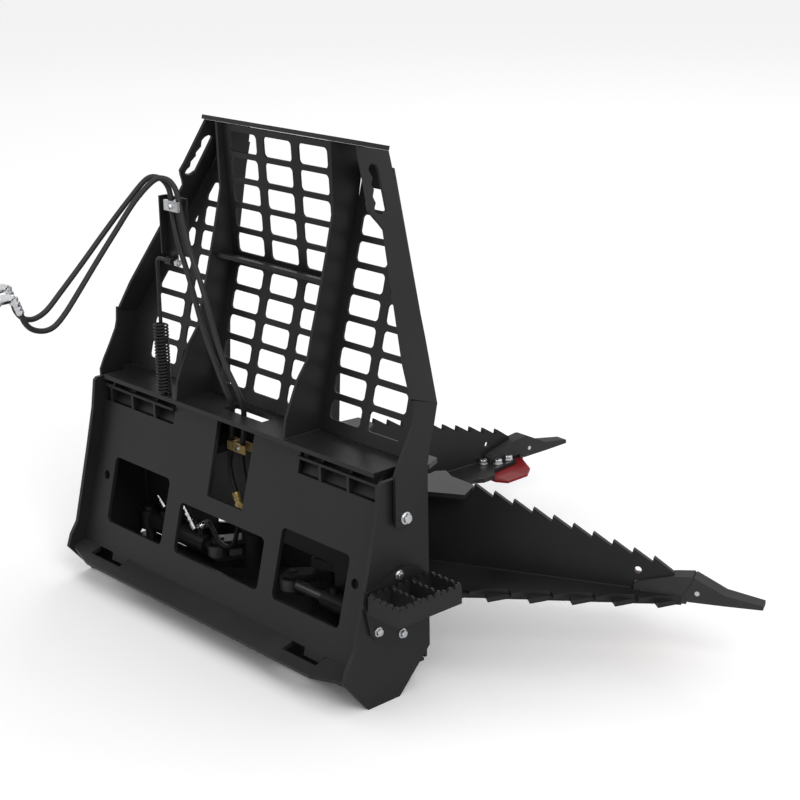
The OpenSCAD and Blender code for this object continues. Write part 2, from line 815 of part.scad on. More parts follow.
module jaw_place(side) {
    mirror([side < 0 ? 1 : 0, 0, 0]) translate([pivot_x, pivot_y, 0])
        rotate([0, 0, side < 0 ? left_closed : -right_open]) children();
}

module jaw(side) {
    color(steel) jaw_place(side) difference() {
        union() {
            translate([0, 0, hub_bottom + seat_gap])
                cylinder(h = hub_top - hub_bottom - 2 * seat_gap, r = hub_r, $fn = 64);
            for (z0 = [cyl_z - rod_eye_t / 2 - arm_t - 1, cyl_z + rod_eye_t / 2 + 1]) translate([0, 0, z0])
                linear_extrude(arm_t) {
                translate(arm_eye) circle(r = 24, $fn = 48);
                polygon([[-26, 10], [arm_eye[0] - 21, arm_eye[1] - 12], [arm_eye[0] + 21, arm_eye[1] + 12], [30, 8]]);
            }
        }
        translate([0, 0, hub_bottom - 1]) cylinder(h = hub_top - hub_bottom + 2, r = pin_r + running_gap, $fn = 64);
        translate([arm_eye[0], arm_eye[1], cyl_z - 50]) cylinder(h = 100, r = rod_pin_r, $fn = 48);
    }
}

module rod_pin(side) {
    reach = rod_eye_t / 2 + arm_t + 1;
    color(zinc) jaw_place(side) translate([arm_eye[0], arm_eye[1], cyl_z - reach])
        cylinder(h = 2 * reach + 6, r = rod_pin_r, $fn = 48);
}

module saw(side) {
    tips = [for (k = [0:saw_tips - 1]) saw_first + k * saw_pitch];
    teeth = [for (t = tips) each [[t[0] - 3, t[1] - saw_deep], t]];
    color(steel) jaw_place(side) difference() {
        yz_plate(concat(
            [[saw_start, floor_top], [saw_start, root_top - root_t]],
            [[saw_first[0] - 7, root_top - root_t], [saw_first[0] - 7, saw_first[1] - saw_deep]],
            teeth, [[883, 246], [883, 239], [792, 214.5], [tail_l - 2, 209], [tail_l - 2, floor_top]]
        ), saw_x - saw_t, saw_t);
        translate([saw_x - saw_t - 1, saw_hole[0], saw_hole[1]]) rotate([0, 90, 0])
            cylinder(h = saw_t + 2, r = 9, $fn = 48);
    }
}

// Saw teeth along the edge of one floor layer, from its first tip
function edge_teeth(first, pitch, count) = [for (k = [0:count - 1]) let (t = first + k * pitch)
    each [t, t + [-33, 36], t + [-47.6, 86]]];

module floor_plate(side) {
    upper = concat(
        [[-38, -34], [40, -30], [60, 60], [84, 200], [85, 409]], edge_teeth(upper_first, upper_pitch_w, 5),
        [[-36, floor_end], [-72, floor_end], [-72, 889], [-111, 861], [-128, 758], [-163, 729], [-167, 684],
            [-153, 662], [-155, 621], [-140, 560], [-118, 400], [-100, 241], [-70, 60]]
    );
    lower = concat(
        [[-38, -34], [40, -30], [60, 60], [104, 200], [105.6, 354]], edge_teeth(lower_first, edge_pitch, 5),
        [[-0.4, 857.2], [-34, 893], [-36, floor_end], [-43, floor_end], [-43, 728], [-155, 621], [-140, 560],
            [-118, 400], [-100, 241], [-70, 60]]
    );
    color(steel) jaw_place(side) difference() {
        union() {
            xy_plate(lower, floor_bottom, layer_t);
            xy_plate(upper, blade_top, layer_t);
        }
        translate([0, 0, floor_bottom - 1]) cylinder(h = 2 * layer_t + 2, r = hub_r, $fn = 64);
    }
}

module root(side) {
    color(steel) jaw_place(side) difference() {
        xy_plate([
            [-38, -34], [30, -34], [40, 60], [20, 240], [10, 373], [-60, 373], [-75, 354], [-104, 300],
            [-140, 272], [-127, 247], [-105, 241], [-80, 120], [-62, 20]
        ], root_top - root_t, root_t);
        translate([0, 0, root_top - root_t - 1]) cylinder(h = root_t + 2, r = hub_r, $fn = 64);
    }
}

// Blade bolted under the upper layer, at the jaw's inner edge
blade_outline = [
    [-192, 754], [-161, 733], [-45, 735], [-45, 905], [-81, 905], [-81, 914], [-154, 877], [-186, 836]
];
blade_bolts = [[-69, 768], [-97, 801], [-91, 847]];

module blade(side) {
    color(blade_red) jaw_place(side) xy_plate(blade_outline, floor_bottom, layer_t);
}

module blade_bolt_set(side) {
    color(zinc) jaw_place(side) for (p = blade_bolts) translate([p[0], p[1], floor_top]) {
        cylinder(h = 3, r = 11, $fn = 40);
        translate([0, 0, 3]) cylinder(h = 8, r = 9, $fn = 6);
    }
}

// Adapter welded on the jaw's end, with a nose that carries the tooth
adapter_far = adapter_near - adapter_w;
nose_front = 965;
nose_side = 7;
nose_z = [187, 214];
pin_at = [943, 203];
tooth_pin_r = 6;

module pin_bore(grow) {
    translate([adapter_far - grow, pin_at[0], pin_at[1]]) rotate([0, 90, 0])
        cylinder(h = adapter_w + 2 * grow, r = tooth_pin_r, $fn = 32);
}

module adapter(side) {
    color(steel) jaw_place(side) difference() {
        union() {
            yz_plate([
                [tail_l, floor_top], [tail_l, 206], [797, 213.5], [881, 238], [929, 244], [933, 238], [919, 211],
                [909, 195], [918, 181], [917, 172], [floor_end + 0.5, 172], [floor_end + 0.5, floor_top]
            ], adapter_far, adapter_w);
            translate([adapter_far + nose_side, floor_end + 0.5, nose_z[0]])
                cube([adapter_w - 2 * nose_side, nose_front - floor_end - 0.5, nose_z[1] - nose_z[0]]);
        }
        pin_bore(1);
    }
}

module tooth(side) {
    color(steel) jaw_place(side) difference() {
        intersection() {
            yz_plate([
                [934, 243], [1008, 207], [1100, 192], [1100, 181], [921, 178], [910, 195], [920, 211], [934, 238]
            ], adapter_far, adapter_w);
            xy_plate([
                [adapter_far, 900], [adapter_near, 900], [adapter_near, 1010], [adapter_near - 3, 1100],
                [adapter_far + 3, 1100], [adapter_far, 1010]
            ], 170, 90);
        }
        translate([adapter_far + nose_side - seat_gap, 890, nose_z[0] - seat_gap])
            cube([
                adapter_w - 2 * nose_side + 2 * seat_gap, nose_front + seat_gap - 890,
                nose_z[1] - nose_z[0] + 2 * seat_gap
            ]);
        pin_bore(1);
    }
}

module tooth_pin(side) {
    color(zinc) jaw_place(side) pin_bore(1);
}

module jaw_right() {
    jaw(1);
}

module saw_right() {
    saw(1);
}

module floor_right() {
    floor_plate(1);
}

module root_right() {
    root(1);
}

module blade_right() {
    blade(1);
}

module blade_bolts_right() {
    blade_bolt_set(1);
}

module adapter_right() {
    adapter(1);
}

module tooth_right() {
    tooth(1);
}

module tooth_pin_right() {
    tooth_pin(1);
}

module rod_pin_right() {
    rod_pin(1);
}

module jaw_left() {
    jaw(-1);
}

module saw_left() {
    saw(-1);
}

module floor_left() {
    floor_plate(-1);
}

module root_left() {
    root(-1);
}

module blade_left() {
    blade(-1);
}

module blade_bolts_left() {
    blade_bolt_set(-1);
}

module adapter_left() {
    adapter(-1);
}

module tooth_left() {
    tooth(-1);
}

module tooth_pin_left() {
    tooth_pin(-1);
}

module rod_pin_left() {
    rod_pin(-1);
}

face_plate();
side_plates();
shelf();
hooks();
lower_flange();
base_plate();
pivot_plate_lower();
pivot_plate_upper();
front_wall();
jaw_pins();
jaw_pin_caps();
mesh_centre();
mesh_left();
mesh_right();
gussets();
guard_plate_left();
guard_plate_right();
guard_stiffener();
guard_cap();
guard_bolts();
step_bracket();
step_tread();
step_bolts();
spring();
spring_rod();
hose_post();
hose_clamp();
guide_fasteners();
gold_clamp();
gold_fittings();
hose_a();
hose_b();
hose_ferrules();
coupler_bodies();
coupler_sleeve();
barrel_right();
rod_right();
barrel_left();
rod_left();
barrel_pins();
jaw_right();
saw_right();
floor_right();
root_right();
blade_right();
blade_bolts_right();
adapter_right();
tooth_right();
tooth_pin_right();
rod_pin_right();
jaw_left();
saw_left();
floor_left();
root_left();
blade_left();
blade_bolts_left();
adapter_left();
tooth_left();
tooth_pin_left();
rod_pin_left();
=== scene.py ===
# %% [markdown]
# # A tree puller in Blender
#
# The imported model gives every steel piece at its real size, in metres, already in its place. This
# script dresses it: the camera first, then the hoses, the cut sheets of the guard, the sprung hose
# guide, the fasteners, the welds and the finishes. Every step says what the piece is on the real
# machine and why it is made in this way.

# %% Load the frame
import math
import json
import bpy
import bmesh
from mathutils import Vector, Matrix


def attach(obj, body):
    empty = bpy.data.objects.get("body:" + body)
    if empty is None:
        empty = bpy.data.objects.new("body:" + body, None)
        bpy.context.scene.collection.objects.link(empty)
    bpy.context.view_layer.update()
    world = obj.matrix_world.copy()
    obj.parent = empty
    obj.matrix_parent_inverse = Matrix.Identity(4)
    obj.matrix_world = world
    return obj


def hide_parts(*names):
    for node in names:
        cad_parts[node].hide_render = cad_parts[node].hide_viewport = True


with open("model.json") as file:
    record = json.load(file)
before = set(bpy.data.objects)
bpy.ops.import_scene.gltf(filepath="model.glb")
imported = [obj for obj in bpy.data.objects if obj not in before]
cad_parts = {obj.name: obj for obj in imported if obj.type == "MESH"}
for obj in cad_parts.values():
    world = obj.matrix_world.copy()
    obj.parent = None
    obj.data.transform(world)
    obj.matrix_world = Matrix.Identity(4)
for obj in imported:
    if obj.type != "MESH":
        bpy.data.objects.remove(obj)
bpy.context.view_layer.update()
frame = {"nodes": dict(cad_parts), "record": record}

# %% [markdown]
# ## Camera
#
# The camera stands behind the right-hand side of the frame, a little above it. Its place and angles
# were worked out from the frame's own parallel and square edges.

# %% Camera
AZIMUTH = math.radians(47.4583)
ELEVATION = math.radians(-17.8122)
ROLL = math.radians(-0.7345)
CAMERA_PLACE = Vector((3.300, -2.361, 1.918))
LENS_MM = 77.80

forward = Vector((-math.sin(AZIMUTH) * math.cos(ELEVATION), math.cos(AZIMUTH) * math.cos(ELEVATION),
                  math.sin(ELEVATION)))
level = Vector((math.cos(AZIMUTH), math.sin(AZIMUTH), 0))
upward = level.cross(forward)
cam_x = level * math.cos(ROLL) + upward * math.sin(ROLL)
cam_y = upward * math.cos(ROLL) - level * math.sin(ROLL)
turn = Matrix((cam_x, cam_y, -forward)).transposed()
camera_data = bpy.data.cameras.new("camera")
camera_data.sensor_width = 36
camera_data.lens = LENS_MM
camera = bpy.data.objects.new("camera", camera_data)
camera.matrix_world = Matrix.Translation(CAMERA_PLACE) @ turn.to_4x4()
bpy.context.scene.collection.objects.link(camera)
bpy.context.scene.camera = camera
print("camera at", tuple(round(c, 3) for c in CAMERA_PLACE))

# %% [markdown]
# ## Finishes
#
# Nearly everything is welded plate under a satin black powder coat. Powder melts in an oven into a
# skin with a fine orange-peel texture, so the coat needs a slow drift in its shade, a fine bump and a
# roughness that changes a little from place to place. The same three masks also serve the red paint,
# the zinc and the rubber, so they are one node group, built once and placed in every material with
# its own scales and strengths.

# %% Node group: shade, roughness and grain of a coat
def new_socket(group, name, direction, kind, value=None):
    socket = group.interface.new_socket(name=name, in_out=direction, socket_type=kind)
    if value is not None:
        socket.default_value = value
    return socket


coat_group = bpy.data.node_groups.new("coat surface", "ShaderNodeTree")
new_socket(coat_group, "Shade", "INPUT", "NodeSocketColor", (0.02, 0.02, 0.02, 1))
new_socket(coat_group, "Dust", "INPUT", "NodeSocketColor", (0.1, 0.1, 0.1, 1))
new_socket(coat_group, "Dust Amount", "INPUT", "NodeSocketFloat", 0.1)
new_socket(coat_group, "Drift Scale", "INPUT", "NodeSocketFloat", 6.0)
new_socket(coat_group, "Grain Scale", "INPUT", "NodeSocketFloat", 600.0)
new_socket(coat_group, "Rough Low", "INPUT", "NodeSocketFloat", 0.35)
new_socket(coat_group, "Rough High", "INPUT", "NodeSocketFloat", 0.5)
new_socket(coat_group, "Color", "OUTPUT", "NodeSocketColor")
new_socket(coat_group, "Roughness", "OUTPUT", "NodeSocketFloat")
new_socket(coat_group, "Height", "OUTPUT", "NodeSocketFloat")


def add_node(tree, kind, **settings):
    node = tree.nodes.new(kind)
    for key, value in settings.items():
        setattr(node, key, value)
    return node


def range_node(tree, source, low, high, out_low=0.0, out_high=1.0):
    node = add_node(tree, "ShaderNodeMapRange")
    node.inputs["From Min"].default_value = low
    node.inputs["From Max"].default_value = high
    node.inputs["To Min"].default_value = out_low
    node.inputs["To Max"].default_value = out_high
    tree.links.new(source, node.inputs["Value"])
    return node.outputs["Result"]


group_in = add_node(coat_group, "NodeGroupInput")
group_out = add_node(coat_group, "NodeGroupOutput")
place = add_node(coat_group, "ShaderNodeTexCoord")
drift = add_node(coat_group, "ShaderNodeTexNoise")
drift.inputs["Detail"].default_value = 4
grain = add_node(coat_group, "ShaderNodeTexNoise")
grain.inputs["Detail"].default_value = 2
facing = add_node(coat_group, "ShaderNodeNewGeometry")
split = add_node(coat_group, "ShaderNodeSeparateXYZ")
link = coat_group.links.new
link(place.outputs["Object"], drift.inputs["Vector"])
link(place.outputs["Object"], grain.inputs["Vector"])
link(group_in.outputs["Drift Scale"], drift.inputs["Scale"])
link(group_in.outputs["Grain Scale"], grain.inputs["Scale"])
link(facing.outputs["Normal"], split.inputs["Vector"])
up_mask = range_node(coat_group, split.outputs["Z"], 0.3, 1.0)
patch_mask = range_node(coat_group, drift.outputs["Fac"], 0.35, 0.7)
dusty = add_node(coat_group, "ShaderNodeMath", operation="MULTIPLY")
link(up_mask, dusty.inputs[0])
link(patch_mask, dusty.inputs[1])
dust_share = add_node(coat_group, "ShaderNodeMath", operation="MULTIPLY")
link(dusty.outputs[0], dust_share.inputs[0])
link(group_in.outputs["Dust Amount"], dust_share.inputs[1])
shade_low = add_node(coat_group, "ShaderNodeMix", data_type="RGBA", blend_type="MULTIPLY")
shade_low.inputs["Factor"].default_value = 1.0
drift_grey = range_node(coat_group, drift.outputs["Fac"], 0.3, 0.7, 0.86, 1.12)
link(group_in.outputs["Shade"], shade_low.inputs["A"])
link(drift_grey, shade_low.inputs["B"])
with_dust = add_node(coat_group, "ShaderNodeMix", data_type="RGBA")
link(dust_share.outputs[0], with_dust.inputs["Factor"])
link(shade_low.outputs["Result"], with_dust.inputs["A"])
link(group_in.outputs["Dust"], with_dust.inputs["B"])
link(with_dust.outputs["Result"], group_out.inputs["Color"])
rough = add_node(coat_group, "ShaderNodeMapRange")
link(drift.outputs["Fac"], rough.inputs["Value"])
rough.inputs["From Min"].default_value = 0.3
rough.inputs["From Max"].default_value = 0.7
link(group_in.outputs["Rough Low"], rough.inputs["To Min"])
link(group_in.outputs["Rough High"], rough.inputs["To Max"])
link(rough.outputs["Result"], group_out.inputs["Roughness"])
link(grain.outputs["Fac"], group_out.inputs["Height"])
print("coat group sockets:", [item.name for item in coat_group.interface.items_tree])

# %% [markdown]
# Each material is a Principled BSDF that takes its colour, roughness and grain from the group. Values
# that are the same all over, such as the metallic share, stay on the shader's own sockets.

# %% Materials
def coat_material(name, shade, dust, dust_amount, drift_scale, grain_scale, roughs, bump, metallic=0.0,
                  specular=0.5, clear_coat=0.0):
    material = bpy.data.materials.new(name)
    material.use_nodes = True
    tree = material.node_tree
    shader = tree.nodes["Principled BSDF"]
    surface = add_node(tree, "ShaderNodeGroup", node_tree=coat_group)
    surface.inputs["Shade"].default_value = (*shade, 1)
    surface.inputs["Dust"].default_value = (*dust, 1)
    surface.inputs["Dust Amount"].default_value = dust_amount
    surface.inputs["Drift Scale"].default_value = drift_scale
    surface.inputs["Grain Scale"].default_value = grain_scale
    surface.inputs["Rough Low"].default_value = roughs[0]
    surface.inputs["Rough High"].default_value = roughs[1]
    relief = add_node(tree, "ShaderNodeBump")
    relief.inputs["Strength"].default_value = 1.0
    relief.inputs["Distance"].default_value = bump
    tree.links.new(surface.outputs["Color"], shader.inputs["Base Color"])
    tree.links.new(surface.outputs["Roughness"], shader.inputs["Roughness"])
    tree.links.new(surface.outputs["Height"], relief.inputs["Height"])
    tree.links.new(relief.outputs["Normal"], shader.inputs["Normal"])
    shader.inputs["Metallic"].default_value = metallic
    shader.inputs["Specular IOR Level"].default_value = specular
    shader.inputs["Coat Weight"].default_value = clear_coat
    return material


BLACK = (0.0135, 0.0135, 0.0142)
powder_coat = coat_material("black powder coat", BLACK, (0.05, 0.05, 0.05), 0.25, 5, 900, (0.36, 0.46),
                            0.00006, specular=0.22)
cast_coat = coat_material("painted cast steel", (0.038, 0.038, 0.039), (0.07, 0.07, 0.07), 0.3, 9, 320,
                          (0.6, 0.72), 0.00025, specular=0.1)
red_paint = coat_material("red blade paint", (0.2, 0.008, 0.011), (0.24, 0.05, 0.05), 0.12, 12, 700,
                          (0.3, 0.42), 0.00005, specular=0.16)
zinc = coat_material("bright zinc", (0.60, 0.61, 0.63), (0.5, 0.5, 0.5), 0.1, 60, 1500, (0.22, 0.34),
                     0.00003, metallic=1.0)
chrome = coat_material("polished plate", (0.66, 0.67, 0.69), (0.5, 0.5, 0.5), 0.05, 40, 900, (0.1, 0.18),
                       0.00001, metallic=1.0)
gold = coat_material("yellow zinc", (0.55, 0.40, 0.16), (0.4, 0.35, 0.25), 0.1, 45, 1200, (0.24, 0.36),
                     0.00003, metallic=0.6)
rubber = coat_material("hose rubber", (0.012, 0.012, 0.012), (0.05, 0.05, 0.05), 0.3, 25, 1400, (0.45, 0.6),
                       0.00012, specular=0.4)
weld_coat = coat_material("coated weld", (0.016, 0.016, 0.017), (0.05, 0.05, 0.05), 0.2, 30, 500, (0.4, 0.52),
                          0.0001, specular=0.25)
# Painted shade: the pins sit inside the frame, and this dark steel colour stands for the shade that falls on
# them there.
pin_steel_painted_dark_for_shade = coat_material("greased steel", (0.05, 0.05, 0.052), (0.04, 0.04, 0.04), 0.2, 40, 800,
                              (0.3, 0.45), 0.00003, metallic=0.6)
# Painted shade: the chrome cylinder rods sit deep inside the frame, and this colour is made dark to stand for
# the shade that falls on them there.
rod_steel_painted_dark_for_shade = coat_material("oiled cylinder rod", (0.09, 0.09, 0.095), (0.06, 0.06, 0.06), 0.2, 50, 900,
                          (0.28, 0.4), 0.00002, metallic=0.8)
# The chrome_rod slot takes the rod colour that is painted dark for the shade inside the frame.
SLOT_MATERIALS = {
    "black_steel": powder_coat, "blade": red_paint, "zinc": zinc, "chrome_rod": rod_steel_painted_dark_for_shade, "chrome": chrome,
    "hose": rubber, "gold": gold,
}
print("materials:", len(SLOT_MATERIALS))

# %% [markdown]
# ## The steel from the model
#
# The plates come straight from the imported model. Real plates never have knife-sharp edges: the
# cutting flame and the powder round them by about a millimetre, and that thin bright line along every
# edge is what makes a plate look like steel. A Bevel modifier with an angle limit gives it without
# changing the mesh itself. The cast teeth get a wider rounding.

# %% Finish and edges of the model's own pieces
NODE_SLOT = {part["node"]: part["material_slot"] for part in frame["record"]["subparts"]}
CAST = ("adapter_right", "adapter_left", "tooth_right", "tooth_left")
EDGE_MM = 0.9
CAST_EDGE_MM = 3.0


def round_edges(item, width_mm, segments=2):
    bevel = item.modifiers.new("edges", "BEVEL")
    bevel.width = width_mm / 1000
    bevel.segments = segments
    bevel.limit_method = "ANGLE"
    bevel.angle_limit = math.radians(32)
    bevel.miter_outer = "MITER_ARC"


# These pins take the steel colour that is painted dark for the shade inside the frame.
PINS_PAINTED_DARK_FOR_SHADE = ("jaw_pins", "barrel_pins", "rod_pin_right", "rod_pin_left")
for name, item in frame["nodes"].items():
    finish = SLOT_MATERIALS[NODE_SLOT[name]]
    if name in CAST:
        finish = cast_coat
    elif name in PINS_PAINTED_DARK_FOR_SHADE:
        finish = pin_steel_painted_dark_for_shade
    item.data.materials.clear()
    item.data.materials.append(finish)
    if name in CAST:
        round_edges(item, CAST_EDGE_MM, 3)
    elif NODE_SLOT[name] in ("black_steel", "blade"):
        round_edges(item, EDGE_MM)
print("dressed nodes:", len(frame["nodes"]))

# %% [markdown]
# Daylight shows through the hose slot of the shelf, so the front wall is cut away behind it, right
# under the shelf. The model's wall is closed there, and a small node group takes the opening out.

# %% Opening in the front wall
OPENING_SIZE = (0.200, 0.030, 0.060)
OPENING_PLACE = (-0.060, 0.217, 0.530)
opening_group = bpy.data.node_groups.new("wall opening", "GeometryNodeTree")
for way in ("INPUT", "OUTPUT"):
    opening_group.interface.new_socket("Geometry", in_out=way, socket_type="NodeSocketGeometry")
wall_in = opening_group.nodes.new("NodeGroupInput")
wall_out = opening_group.nodes.new("NodeGroupOutput")
block = opening_group.nodes.new("GeometryNodeMeshCube")
block.inputs["Size"].default_value = OPENING_SIZE
block_place = opening_group.nodes.new("GeometryNodeTransform")
block_place.inputs["Translation"].default_value = OPENING_PLACE
cut = opening_group.nodes.new("GeometryNodeMeshBoolean")
cut.operation = "DIFFERENCE"
opening_group.links.new(block.outputs["Mesh"], block_place.inputs["Geometry"])
opening_group.links.new(wall_in.outputs["Geometry"], cut.inputs["Mesh 1"])
opening_group.links.new(block_place.outputs["Geometry"], cut.inputs["Mesh 2"])
opening_group.links.new(cut.outputs["Mesh"], wall_out.inputs["Geometry"])
wall = frame["nodes"]["front_wall"]
wall_cut = wall.modifiers.new("opening", "NODES")
wall_cut.node_group = opening_group
wall.modifiers.move(len(wall.modifiers) - 1, 0)
print("wall opening:", OPENING_SIZE, [m.name for m in wall.modifiers], tuple(wall.location))

# %% [markdown]
# ## Helpers for new pieces
#
# Four small tools make every new piece: a smooth line through route points, a round tube along a
# line, a turned piece from a profile, and a flat plate with rounded openings.

# %% Helper: a new mesh piece that rides on a body
def new_piece(name, mesh, material, body):
    item = bpy.data.objects.new(name, mesh)
    bpy.context.scene.collection.objects.link(item)
    mesh.materials.clear()
    mesh.materials.append(material)
    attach(item, body)
    return item


def mm(*values):
    return Vector(values) / 1000


def smooth_line(points, steps):
    # A curve that passes through every point, with a few points between each pair
    line = []
    last = len(points) - 1
    for i in range(last):
        p0, p1, p2, p3 = (points[max(i - 1, 0)], points[i], points[i + 1], points[min(i + 2, last)])
        for k in range(steps):
            t = k / steps
            line.append(0.5 * (2 * p1 + (p2 - p0) * t + (2 * p0 - 5 * p1 + 4 * p2 - p3) * t * t
                               + (3 * p1 - p0 - 3 * p2 + p3) * t ** 3))
    return line + [points[last]]


def line_length(line):
    return sum((b - a).length for a, b in zip(line, line[1:]))


# %% Helper: tube along a line, as a curve object
def tube_piece(name, line, radius, material, body, resolution=5, closed=False):
    data = bpy.data.curves.new(name, "CURVE")
    data.dimensions = "3D"
    data.bevel_depth = radius
    data.bevel_resolution = resolution
    data.use_fill_caps = True
    spline = data.splines.new("POLY")
    spline.points.add(len(line) - 1)
    for point, place_at in zip(spline.points, line):
        point.co = (*place_at, 1)
    spline.use_cyclic_u = closed
    spline.use_smooth = True
    data.materials.append(material)
    item = bpy.data.objects.new(name, data)
    bpy.context.scene.collection.objects.link(item)
    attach(item, body)
    return item


# %% Helper: turned piece, from (distance along, radius) in millimetres
def turned_mesh(target, start, direction, profile, sides=40):
    axis = direction.normalized()
    across = axis.cross(Vector((0.123, 0.456, 0.881))).normalized()
    third = axis.cross(across)
    rings = []
    for along, radius in profile:
        centre = start + axis * along / 1000
        rings.append([target.verts.new(centre + (across * math.cos(a) + third * math.sin(a)) * radius / 1000)
                      for a in (2 * math.pi * k / sides for k in range(sides))])
    for low, high in zip(rings, rings[1:]):
        for k in range(sides):
            face = target.faces.new((low[k], low[(k + 1) % sides], high[(k + 1) % sides], high[k]))
            face.smooth = sides > 12
    target.faces.new(list(reversed(rings[0])))
    target.faces.new(rings[-1])


def sharp_edges(mesh, degrees=35):
    mesh.set_sharp_from_angle(angle=math.radians(degrees))


def turned_piece(name, parts, material, body):
    target = bmesh.new()
    for start, direction, profile, sides in parts:
        turned_mesh(target, start, direction, profile, sides)
    mesh = bpy.data.meshes.new(name)
    target.to_mesh(mesh)
    target.free()
    sharp_edges(mesh)
    return new_piece(name, mesh, material, body)


# %% [markdown]
# A laser-cut opening has rounded corners. The helper below rounds every corner of any outline with a
# true arc, and the plate itself is a filled flat curve: an outline with openings, given a thickness
# and a small rounded edge. That keeps the corners smooth with few points.

# %% Helper: rounded outline and flat plate with openings
def rounded(outline, radius, steps=5):
    points = []
    count = len(outline)
    for i in range(count):
        before, here, after = (Vector(outline[i - 1]), Vector(outline[i]), Vector(outline[(i + 1) % count]))
        to_before, to_after = (before - here), (after - here)
        half = to_before.angle(to_after) / 2
        reach = min(radius / math.tan(half), 0.45 * to_before.length, 0.45 * to_after.length)
        true_radius = reach * math.tan(half)
        middle = (to_before.normalized() + to_after.normalized())
        if middle.length < 1e-6 or radius == 0:
            points.append(here)
            continue
        centre = here + middle.normalized() * (true_radius / math.sin(half))
        first = here + to_before.normalized() * reach - centre
        last = here + to_after.normalized() * reach - centre
        for k in range(steps + 1):
            blend = first.lerp(last, k / steps)
            points.append(centre + blend.normalized() * true_radius)
    return points


def clipped(polygon, border):
    # Part of a polygon inside a convex border, both given anticlockwise
    result = [Vector(p) for p in polygon]
    for i in range(len(border)):
        a, b = Vector(border[i]), Vector(border[(i + 1) % len(border)])
        side = lambda p: (b.x - a.x) * (p.y - a.y) - (b.y - a.y) * (p.x - a.x)
        kept = []
        for j in range(len(result)):
            p, q = result[j - 1], result[j]
            if (side(p) >= 0) != (side(q) >= 0):
                kept.append(p.lerp(q, side(p) / (side(p) - side(q))))
            if side(q) >= 0:
                kept.append(q)
        result = kept
        if len(result) < 3:
            return []
    clean = [p for k, p in enumerate(result) if (p - result[k - 1]).length > 0.5]
    return clean


def box_points(x0, y0, width, height):
    return [(x0, y0), (x0 + width, y0), (x0 + width, y0 + height), (x0, y0 + height)]


def plate_mesh(name, sheets, edge_mm=0.8):
    # Each sheet is an outline, its openings, a thickness and a place, all in millimetres
    meshes = []
    for outline, openings, thickness, place_at in sheets:
        data = bpy.data.curves.new(name, "CURVE")
        data.dimensions = "2D"
        data.fill_mode = "BOTH"
        data.extrude = (thickness / 2 - edge_mm) / 1000
        data.bevel_depth = edge_mm / 1000
        data.bevel_resolution = 1
        data.offset = -edge_mm / 1000
        for loop in [outline] + openings:
            spline = data.splines.new("POLY")
            spline.points.add(len(loop) - 1)
            for point, place_2d in zip(spline.points, loop):
                point.co = (place_2d[0] / 1000, place_2d[1] / 1000, 0, 1)
            spline.use_cyclic_u = True
        holder = bpy.data.objects.new(name, data)
        bpy.context.scene.collection.objects.link(holder)
        bpy.context.view_layer.update()
        mesh = bpy.data.meshes.new_from_object(holder.evaluated_get(bpy.context.evaluated_depsgraph_get()))
        bpy.data.objects.remove(holder)
        bpy.data.curves.remove(data)
        mesh.transform(place_at)
        meshes.append(mesh)
    joined = bmesh.new()
    for mesh in meshes:
        joined.from_mesh(mesh)
        bpy.data.meshes.remove(mesh)
    bmesh.ops.remove_doubles(joined, verts=joined.verts, dist=0.00001)
    bmesh.ops.recalc_face_normals(joined, faces=joined.faces)
    result = bpy.data.meshes.new(name)
    joined.to_mesh(result)
    joined.free()
    return result


def leaning_place(y_mm, z_mm, lean_deg, thickness):
    # The plane of a plate that leans forward at its top, its front face on the given line
    return (Matrix.Translation(mm(0, y_mm, z_mm)) @ Matrix.Rotation(math.radians(90 - lean_deg), 4, "X")
            @ Matrix.Translation(mm(0, 0, -thickness / 2)))


# %% [markdown]
# ## Hydraulic hoses
#
# Two rubber hoses rise from the cylinders, pass the notch of the face, lean on the sprung guide and
# fall to the loader's side, where each curls up into its coupler. They are the only soft pieces, so
# they come right after the camera. Each follows the same route points as the model, in metres, drawn
# as one smooth curve. The route's own length is the hose's real length.

# %% Hose routes
HOSE_D = 0.014
HOSE_A = [Vector(p) for p in (
    (-.097, .172, .318), (-.112, .172, .352), (-.117, .171, .392), (-.101, .166, .432), (-.098, .164, .456),
    (-.070, .150, .520), (-.050, .136, .575), (-.056, .122, .620), (-.075, .112, .680), (-.095, .106, .730),
    (-.118, .102, .790), (-.147, .098, .880),
    (-.172, .095, .945), (-.190, .093, 1.000), (-.203, .093, 1.050), (-.210, .095, 1.095),
    (-.222, .093, 1.122), (-.240, .082, 1.138), (-.258, .058, 1.134), (-.272, .010, 1.085),
    (-.282, -.048, 1.024), (-.288, -.130, .941), (-.290, -.190, .884), (-.290, -.232, .847),
    (-.290, -.265, .833), (-.290, -.289, .835), (-.290, -.306, .846), (-.290, -.317, .862),
    (-.290, -.322, .880))]
HOSE_B = [Vector(p) for p in (
    (-.052, .176, .300), (-.056, .175, .350), (-.062, .171, .404), (-.050, .164, .456), (-.022, .150, .520),
    (-.006, .139, .575), (-.008, .126, .621), (-.034, .112, .684), (-.055, .106, .739),
    (-.080, .100, .824), (-.107, .097, .897),
    (-.139, .094, .969), (-.164, .093, 1.046), (-.178, .095, 1.092), (-.190, .093, 1.120),
    (-.206, .082, 1.138), (-.224, .058, 1.136), (-.240, .010, 1.090), (-.248, -.048, 1.020),
    (-.254, -.110, .945), (-.255, -.156, .891), (-.255, -.200, .842), (-.255, -.234, .814),
    (-.255, -.265, .808), (-.255, -.296, .818), (-.255, -.315, .838), (-.255, -.324, .862))]
line_a = smooth_line(HOSE_A, 6)
line_b = smooth_line(HOSE_B, 6)
hose_a = tube_piece("hose_a_skin", line_a, HOSE_D / 2, rubber, "frame")
hose_b = tube_piece("hose_b_skin", line_b, HOSE_D / 2, rubber, "frame")
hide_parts("hose_a")
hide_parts("hose_b")
